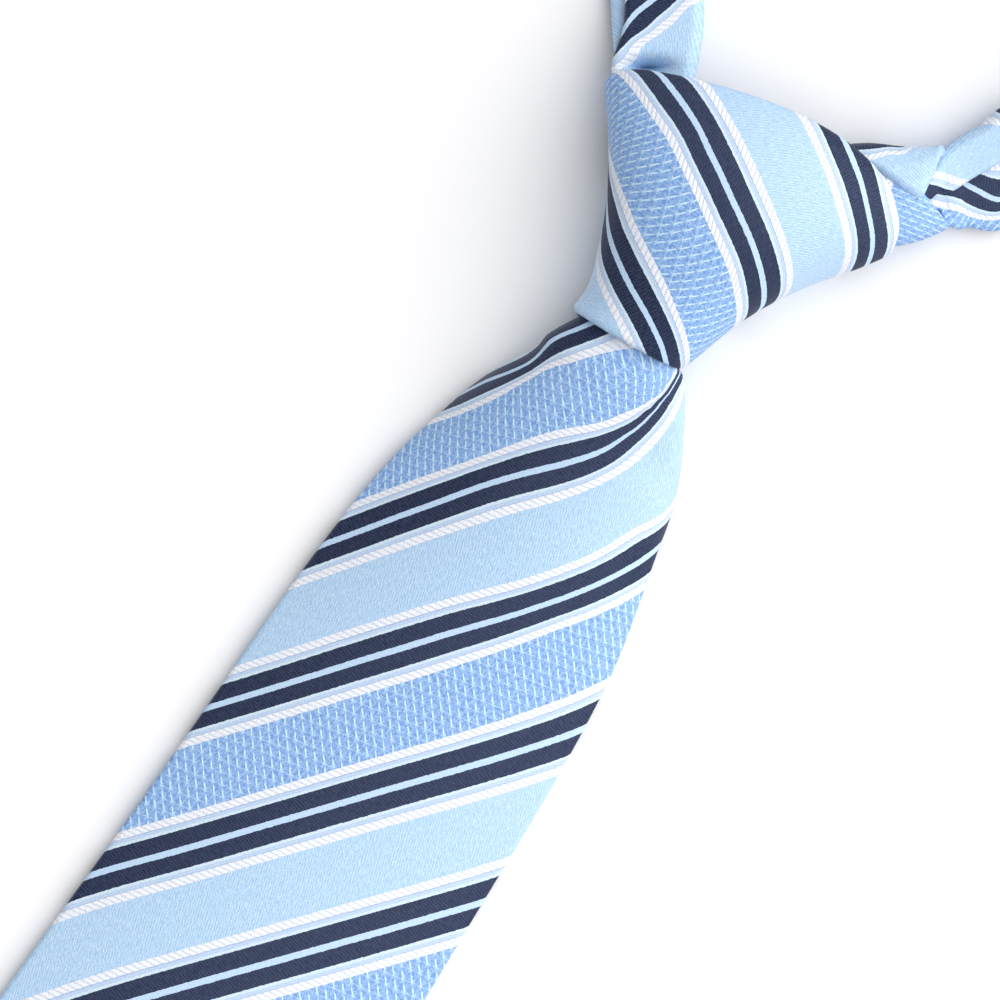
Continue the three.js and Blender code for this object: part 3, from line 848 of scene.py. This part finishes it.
class NECKTIE_OT_front_blade(bpy.types.Operator):
    """The wide blade in front, arched at the knot's mouth and flat below it"""

    bl_idname = "necktie.front_blade"
    bl_label = "Front blade"

    def execute(self, context):
        half = half_thickness(context.scene)
        reaches = np.concatenate([
            np.arange(KNOT_REACH, GATHERED_REACH, GATHERED_ROW),
            np.arange(GATHERED_REACH, BLADE_TIP - POINT_LENGTH, BLADE_ROW),
            point_rows(BLADE_TIP)])[::-1]
        row = as_columns(FRONT_BLADE(np.minimum(reaches, BLADE_SHOULDER)))
        turn = np.radians(row["roll"])

        def arch(across):
            angle = across * turn
            fall = (1 - np.cos(angle)) / (1 - np.cos(turn))
            z = row["crown"] - (row["crown"] - half - row["edge"]) * fall
            return np.sin(angle) / np.sin(np.minimum(turn, np.pi / 2)), z

        # Where the sides roll under, the wall's outer face makes the outline, and not its edge.
        inset = half * np.sin(np.minimum(turn, np.pi / 2)) ** 3
        middle = blade_grid(
            reaches, row["left"] + inset, row["right"] - inset, arch, BLADE_SHOULDER, BLADE_TIP)
        across, front, back = blade_maps(middle)
        outer, inner = blade_faces(middle, across, half)

        # The stripes bend where the cloth is gathered into the knot.
        sites, misses = [], []
        for place, points in BLADE_STRIPES.items():
            for x, y in points:
                j = np.argmin(np.abs(outer[:, 0, 1] - y))
                seen = slice(np.argmin(outer[j, :, 0]), np.argmax(outer[j, :, 0]) + 1)
                if not outer[j, seen, 0].min() - READING_MISS < x < outer[j, seen, 0].max():
                    continue
                s = np.interp(x, outer[j, seen, 0], across[j, seen])
                sites.append((s, y))
                misses.append(place - weave(y, s)[1])
        shift = np.mean(misses[-LOWEST_POINTS:])
        loose = ease_in(-np.array(sites)[:, 1], *BLADE_EASE_REACH)
        ease = BLADE_EASE[0] + (BLADE_EASE[1] - BLADE_EASE[0]) * loose
        bend = thin_plate(sites, np.array(misses) - shift, ease)
        places = np.stack([across, middle[..., 1]], -1)
        straight = ease_in(-middle[..., 1], *BLADE_STRAIGHT)
        change = shift + bend(places) * (1 - straight)
        front[..., 1] += change
        back[..., 1] += change

        piece = cloth_object("front_blade_silk", outer, inner, front, back)
        finish_piece(piece, "front_blade")
        return {"FINISHED"}


class NECKTIE_OT_tail_blade(bpy.types.Operator):
    """The narrow blade behind the front one"""

    bl_idname = "necktie.tail_blade"
    bl_label = "Tail blade"

    def execute(self, context):
        half = half_thickness(context.scene)
        reaches = np.concatenate([
            np.arange(KNOT_REACH, TAIL_TIP - POINT_LENGTH, BLADE_ROW),
            point_rows(TAIL_TIP)])[::-1]
        row = as_columns(TAIL_BLADE(np.minimum(reaches, TAIL_SHOULDER)))

        def flat(across):
            return across, np.broadcast_to(row["middle"], (len(reaches), across.shape[1]))

        middle = blade_grid(
            reaches, -row["half"], row["half"], flat, TAIL_SHOULDER, TAIL_TIP, columns=44)
        across, front, back = blade_maps(middle, shift=TAIL_SHIFT)
        outer, inner = blade_faces(middle, across, half)
        piece = cloth_object("tail_blade_silk", outer, inner, front, back)
        finish_piece(piece, "tail_blade")
        return {"FINISHED"}


def turn_grid(table, half, rows, columns, rise_of):
    """Points in the middle of a turn's wall, from its lower edge up and round from behind."""
    down = np.linspace(1, 0, rows + 1)
    row = as_columns(table(down))
    share = np.linspace(-0.5, 1.5, columns + 1)[None, :]
    if "crease" in row:
        # One column of the grid follows the crease in front.
        kept, crease = 2 * CREASE_COLUMN - 0.5, np.arccos(1 - 2 * row["crease"]) / np.pi
        moved = np.where(share < kept, share * crease / kept,
                         1 - (1 - share) * (1 - crease) / (1 - kept))
        share = np.where((share > 0) & (share < 1), moved, share)
    angle = np.pi * share
    left = np.stack([row["left_x"], row["left_y"]], -1)
    right = np.stack([row["right_x"], row["right_y"]], -1)
    chord = right - left
    length = np.linalg.norm(chord, axis=-1, keepdims=True)
    side = chord / length
    up = np.stack([-side[..., 1], side[..., 0]], -1)
    half_width = length[..., 0] / 2 - half
    rounding = np.abs(np.sin(angle))
    front = (angle >= 0) & (angle <= np.pi)
    across = (1 - np.cos(angle)) / 2
    rise = np.where(front, rise_of(row, rounding, angle, across, down[:, None]),
                    row["back_rise"] * rounding)
    domed = row["fold"] + (row["crown"] - half - row["fold"]) * rounding ** FRONT_ROUNDING
    sunk = 1 - (1 - np.minimum(1, BACK_ROUNDING * rounding)) ** 2
    flattened = row["fold"] + (row["base"] + half - row["fold"]) * sunk
    place = (left + right) / 2 - side * (half_width * np.cos(angle))[..., None]
    place = place + up * rise[..., None]
    return np.concatenate([place, np.where(front, domed, flattened)[..., None]], -1), front


def find_on_front(points, front, targets):
    """Where targets seen from above lie on the front of a turn, as places in its grid."""
    flat = points.reshape(-1, 3)[:, :2]
    usable = np.broadcast_to(front, points.shape[:2]).reshape(-1)
    found = []
    for target in targets:
        far = np.where(usable, ((flat - target) ** 2).sum(-1), 1e9)
        nearest = np.argsort(far)[:4]
        found.append((nearest, 1 / (far[nearest] + 0.01)))
    return found


def sample(values, found):
    """The mean of a grid's values at places that find_on_front gave."""
    flat = values.reshape(-1)
    return [np.average(flat[nearest], weights=near) for nearest, near in found]


class NECKTIE_OT_knot(bpy.types.Operator):
    """The two turns of the knot that show, and the gathered layers inside them"""

    bl_idname = "necktie.knot"
    bl_label = "Knot"

    def execute(self, context):
        half = half_thickness(context.scene)
        self.front_wrap(half)
        self.inner_wrap(half)
        self.core()
        return {"FINISHED"}

    def front_wrap(self, half):
        def rise(row, rounding, angle, across, down):
            return row["rise"] * rounding * (MEAN_RISE - RISE_LEAN * np.cos(angle))

        ring, front = turn_grid(FRONT_WRAP, half, *FRONT_WRAP_GRID, rise)
        outer, _ = self.faces(ring, half)
        centre = ring.shape[1] // 2
        around = lengths_along(ring, 1)
        around = around - around[:, centre:centre + 1]
        down = lengths_along(ring, 0)[:, centre:centre + 1] * np.ones_like(around)
        sites, places, lengths = [], [], []
        for place, (start, points) in KNOT_STRIPES.items():
            found = find_on_front(outer, front[:, :-1], points)
            spots = np.stack([sample(outer[..., i], found) for i in range(3)], -1)
            steps = np.linalg.norm(np.diff(spots, axis=0), axis=-1)
            sites += list(zip(sample(around[:, :-1], found), sample(down[:, :-1], found)))
            places += [place] * len(points)
            lengths += list(start + np.concatenate([[0], np.cumsum(steps)]))
        grid = np.stack([around, down], -1)
        cloth = np.stack([
            thin_plate(sites, lengths, ALONG_EASE)(grid),
            thin_plate(sites, places, ACROSS_EASE)(grid)], -1)
        self.ring_piece("knot_front_wrap", ring, cloth, half, (0.060, 0.120), 0.0052)

    def inner_wrap(self, half):
        def rise(row, rounding, angle, across, down):
            reach = np.where(across < NOTCH_PLACE, across / NOTCH_PLACE,
                             (1 - across) / (1 - NOTCH_PLACE))
            return -NOTCH_DEPTH * reach * (1 - ease_in(down, 0.0, NOTCH_END))

        ring, front = turn_grid(INNER_WRAP, half, *INNER_WRAP_GRID, rise)
        column = np.arange(ring.shape[1]) / (ring.shape[1] - 1)
        upper_flap = (column > FRONT_COLUMNS[0]) & (column <= CREASE_COLUMN)
        lower_flap = (column > CREASE_COLUMN) & (column < FRONT_COLUMNS[1])
        ring[:, upper_flap, 2] += FLAP_STEP / 2
        ring[:, lower_flap, 2] -= FLAP_STEP / 2
        # The upper flap is satin below a navy stripe, and the lower one is textured.
        sites = [point for points in FLAP_STRIPES.values() for point in points]
        places = [place for place, points in FLAP_STRIPES.items() for _ in points]
        outer, _ = self.faces(ring, half)
        plan = np.concatenate([outer, outer[:, :1]], 1)[..., :2]
        upper = np.stack([plan @ UPPER_WAY, thin_plate(sites, places, FLAP_EASE)(plan)], -1)
        across_way = (-LOWER_WAY[1], LOWER_WAY[0])
        lower = np.stack([
            LOWER_STRETCH * plan @ LOWER_WAY, LOWER_PLACE + (plan - LOWER_POINT) @ across_way], -1)
        cloth = np.where(upper_flap[None, :, None], upper, lower)
        self.ring_piece("knot_inner_wrap", ring, cloth, half, (0.015, 0.070), 0.0008)

    def faces(self, ring, half):
        along = lengths_along(ring, 0)
        walls = soft_edge(np.minimum(along, along[-1:] - along), half)
        return cloth_faces(ring[:, :-1], walls[:, :-1], around=True)

    def ring_piece(self, node, ring, cloth, half, flat, area):
        outer, inner = self.faces(ring, half)
        piece = cloth_object(node + "_silk", outer, inner, cloth, cloth, around=True)
        finish_piece(piece, node)

    def core(self):
        reaches = np.concatenate([
            CORE_ENDS[0] + 0.05 + np.linspace(0, 1, 12) ** 2 * CORE_ROUNDING,
            np.linspace(CORE_ENDS[0] + CORE_ROUNDING + 1, CORE_ENDS[1] - CORE_ROUNDING - 1, 24),
            CORE_ENDS[1] - 0.05 - np.linspace(1, 0, 12) ** 2 * CORE_ROUNDING])[::-1]
        row = as_columns(KNOT_CORE(reaches))
        from_end = np.minimum(reaches - CORE_ENDS[0], CORE_ENDS[1] - reaches)[:, None]
        size = np.sqrt(1 - (1 - np.minimum(1, from_end / CORE_ROUNDING)) ** 2)
        angle = np.linspace(np.pi, -np.pi, 65)[None, :]
        half_width, half_height = (row["right"] - row["left"]) / 2, (row["top"] - row["bottom"]) / 2
        x = (row["left"] + row["right"]) / 2 + size * half_width * np.cos(angle)
        z = (row["top"] + row["bottom"]) / 2 + size * half_height * np.sin(angle)
        skin = np.stack([x, np.broadcast_to(-reaches[:, None], x.shape), z], -1)
        cloth = weave(skin[..., 1], skin[..., 0] + CORE_LEAN * skin[..., 2]) + CORE_SHIFT
        # The skin is the wall's outer face, and its inner face lies inside it.
        skin = skin[:, :-1]
        wall = np.broadcast_to(np.minimum(CORE_WALL, CORE_WALL_SHARE * size), skin.shape[:2])
        _, lining = cloth_faces(skin, wall, around=True)
        piece = cloth_object("knot_core_silk", skin, lining, cloth, cloth, around=True)
        finish_piece(
            piece, "knot_core")


class NECKTIE_OT_neck_band(bpy.types.Operator):
    """The band round the neck, folded lengthwise, which stands up where it turns"""

    bl_idname = "necktie.neck_band"
    bl_label = "Neck band"

    def execute(self, context):
        half = half_thickness(context.scene)
        bend = half + BAND_GAP / 2
        steps = np.concatenate([np.arange(*rows) for rows in BAND_ROWS])
        row = as_columns(NECK_BAND(steps))
        leaf = 1 - np.cos(np.linspace(0, np.pi / 2, LEAF_COLUMNS))[None, :]
        turn = np.radians(np.linspace(90, 270, FOLD_COLUMNS + 2)[1:-1])[None, :]
        fold_column = LEAF_COLUMNS + FOLD_COLUMNS // 2
        # Across the band: in over the upper leaf, round the fold and out under the lower leaf.
        reach = np.hstack([
            row["upper"] - (row["upper"] - bend) * leaf,
            np.broadcast_to(bend + bend * np.cos(turn), (len(steps), FOLD_COLUMNS)),
            bend + (row["lower"] - bend) * (1 - leaf[:, ::-1])])
        height = np.hstack([
            np.full_like(leaf, bend), bend * np.sin(turn), np.full_like(leaf, -bend)])
        slope, facing = np.radians(row["tilt"]), np.radians(row["facing"])
        outwards = np.cos(slope) * (reach + half) + np.sin(slope) * height
        x = row["x"] + np.cos(facing) * outwards
        y = row["y"] + np.sin(facing) * outwards
        z = -np.sin(slope) * (reach + half) + np.cos(slope) * height
        band = np.stack([x, y, z], -1)
        walls = soft_edge(edge_distances(band), half)
        under = (z - walls * np.cos(slope)).min(axis=1, keepdims=True)
        band[..., 2] += row["lift"] - under
        view = math.radians(VIEW_TURN)
        sides = np.array([[math.cos(view), -math.sin(view)], [math.sin(view), math.cos(view)]])
        far = (((band[..., :2] - VALLEY_PLACE) @ sides / VALLEY_SIZE) ** 2).sum(-1)
        band[..., 2] -= VALLEY_DEPTH * np.exp(-far)

        # The weave runs on along the band, and both leaves show the same side of the cloth.
        fold = band[:, fold_column:fold_column + 1]
        length = np.broadcast_to(lengths_along(fold, 0), reach.shape)
        face, back = weave(length, reach), weave(length, -reach) + BAND_BACK_SHIFT
        upper_leaf = np.arange(reach.shape[1]) <= fold_column
        fitted = {
            "upper": self.fit("upper", face, band, reach, length, upper_leaf),
            "lower": self.fit("lower", face, band, reach, length, ~upper_leaf)}
        outer_map = np.where(upper_leaf[None, :, None], fitted["upper"], back)
        inner_map = np.where(upper_leaf[None, :, None], back, fitted["lower"])
        outer, inner = cloth_faces(band, walls)
        piece = cloth_object("neck_band_silk", outer, inner, outer_map, inner_map)
        finish_piece(piece, "neck_band")
        return {"FINISHED"}

    def fit(self, name, cloth, band, reach, length, leaf):
        """Moves the stripes of a leaf on to the photographed ones near each end."""
        whole = length.max()
        changes, means = [], []
        for stripes, here in (
                (LEFT_ARM_STRIPES, length < ARM_REACH),
                (RIGHT_ARM_STRIPES, length > whole - ARM_REACH)):
            sites, misses = [], []
            for (on, place), points in stripes.items():
                if on == name:
                    found = find_on_front(band, here & leaf[None, :], points)
                    sites += list(zip(sample(reach, found), sample(length, found)))
                    misses += [place - v for v in sample(cloth[..., 1], found)]
            means.append(np.mean(misses))
            bend = thin_plate(sites, np.array(misses) - means[-1], ARM_EASE)
            changes.append(bend(np.stack([reach, length], -1)))
        means[1] -= REPEAT * round((means[1] - means[0]) / REPEAT)
        result = cloth.copy()
        meet = ease_in(length, ARM_MEETS, whole - ARM_MEETS)
        result[..., 1] += means[0] + (means[1] - means[0]) * meet
        result[..., 1] += changes[0] * (1 - ease_in(length, *ARM_LETS_GO))
        result[..., 1] += changes[1] * (1 - ease_in(whole - length, *ARM_LETS_GO))
        return result


class NECKTIE_OT_studio(bpy.types.Operator):
    """A pale floor, soft light from above and the camera"""

    bl_idname = "necktie.studio"
    bl_label = "Studio"

    def execute(self, context):
        scene, studio = context.scene, context.scene.necktie_studio
        scene.view_settings.view_transform = "Standard"
        bpy.ops.mesh.primitive_plane_add(size=60, location=(0, 0, -0.0002))
        floor = context.object
        floor.name = "floor"
        material = bpy.data.materials.new("matt_studio_paper")
        material.use_nodes = True
        tree = material.node_tree
        tree.nodes.clear()
        shader = add_node(tree, "ShaderNodeBsdfPrincipled", {
            "Base Color": (*studio.floor, 1), "Roughness": 0.9, "Specular IOR Level": 0.1})
        add_node(tree, "ShaderNodeOutputMaterial", {"Surface": shader.outputs[0]})
        floor.data.materials.append(material)

        bpy.ops.object.light_add(type="SUN", location=(0, 0, 1.5),
                                 rotation=(0, math.radians(LIGHT_SLANT), math.radians(LIGHT_TURN)))
        light = context.object
        light.name = "soft_key"
        light.data.angle = math.radians(LIGHT_SPREAD)
        light.data.energy = studio.key
        light.data.color = (1.0, 0.995, 0.985)

        world = bpy.data.worlds.new("studio_room")
        world.use_nodes = True
        background = world.node_tree.nodes["Background"]
        background.inputs["Color"].default_value = (0.98, 0.985, 1.0, 1)
        background.inputs["Strength"].default_value = studio.fill
        scene.world = world

        x, y = VIEW_CENTRE
        bpy.ops.object.camera_add(location=(x * MM, y * MM, CAMERA_HEIGHT * MM),
                                  rotation=(0, 0, math.radians(VIEW_TURN)))
        camera = context.object
        camera.name = "studio_camera"
        camera.data.sensor_width = SENSOR_WIDTH
        camera.data.lens = SENSOR_WIDTH * CAMERA_HEIGHT / VIEW_FIELD
        camera.data.clip_start = 0.05
        camera.data.clip_end = 50
        scene.camera = camera
        return {"FINISHED"}


STEPS = (
    NECKTIE_OT_studio, NECKTIE_OT_tail_blade, NECKTIE_OT_front_blade, NECKTIE_OT_knot,
    NECKTIE_OT_neck_band,
)


class NECKTIE_PT_panel(bpy.types.Panel):
    """Lists the pieces of the necktie"""

    bl_idname = "NECKTIE_PT_panel"
    bl_label = "Striped Silk Necktie"
    bl_space_type = "VIEW_3D"
    bl_region_type = "UI"
    bl_category = "Necktie"

    def draw(self, context):
        for group in (context.scene.necktie_weave, context.scene.necktie_colours,
                      context.scene.necktie_studio):
            box = self.layout.box()
            for name in group.bl_rna.properties.keys():
                if name not in ("rna_type", "name"):
                    box.prop(group, name)
        for step in STEPS:
            self.layout.operator(step.bl_idname)


CLASSES = (NecktieWeave, NecktieColours, NecktieStudio, *STEPS, NECKTIE_PT_panel)


def register():
    for each in CLASSES:
        bpy.utils.register_class(each)
    bpy.types.Scene.necktie_weave = bpy.props.PointerProperty(type=NecktieWeave)
    bpy.types.Scene.necktie_colours = bpy.props.PointerProperty(type=NecktieColours)
    bpy.types.Scene.necktie_studio = bpy.props.PointerProperty(type=NecktieStudio)


def unregister():
    del bpy.types.Scene.necktie_studio
    del bpy.types.Scene.necktie_colours
    del bpy.types.Scene.necktie_weave
    for each in reversed(CLASSES):
        bpy.utils.unregister_class(each)


def main():
    register()
    bpy.ops.necktie.studio()
    bpy.ops.necktie.tail_blade()
    bpy.ops.necktie.front_blade()
    bpy.ops.necktie.knot()
    bpy.ops.necktie.neck_band()


if __name__ == "__main__":
    main()
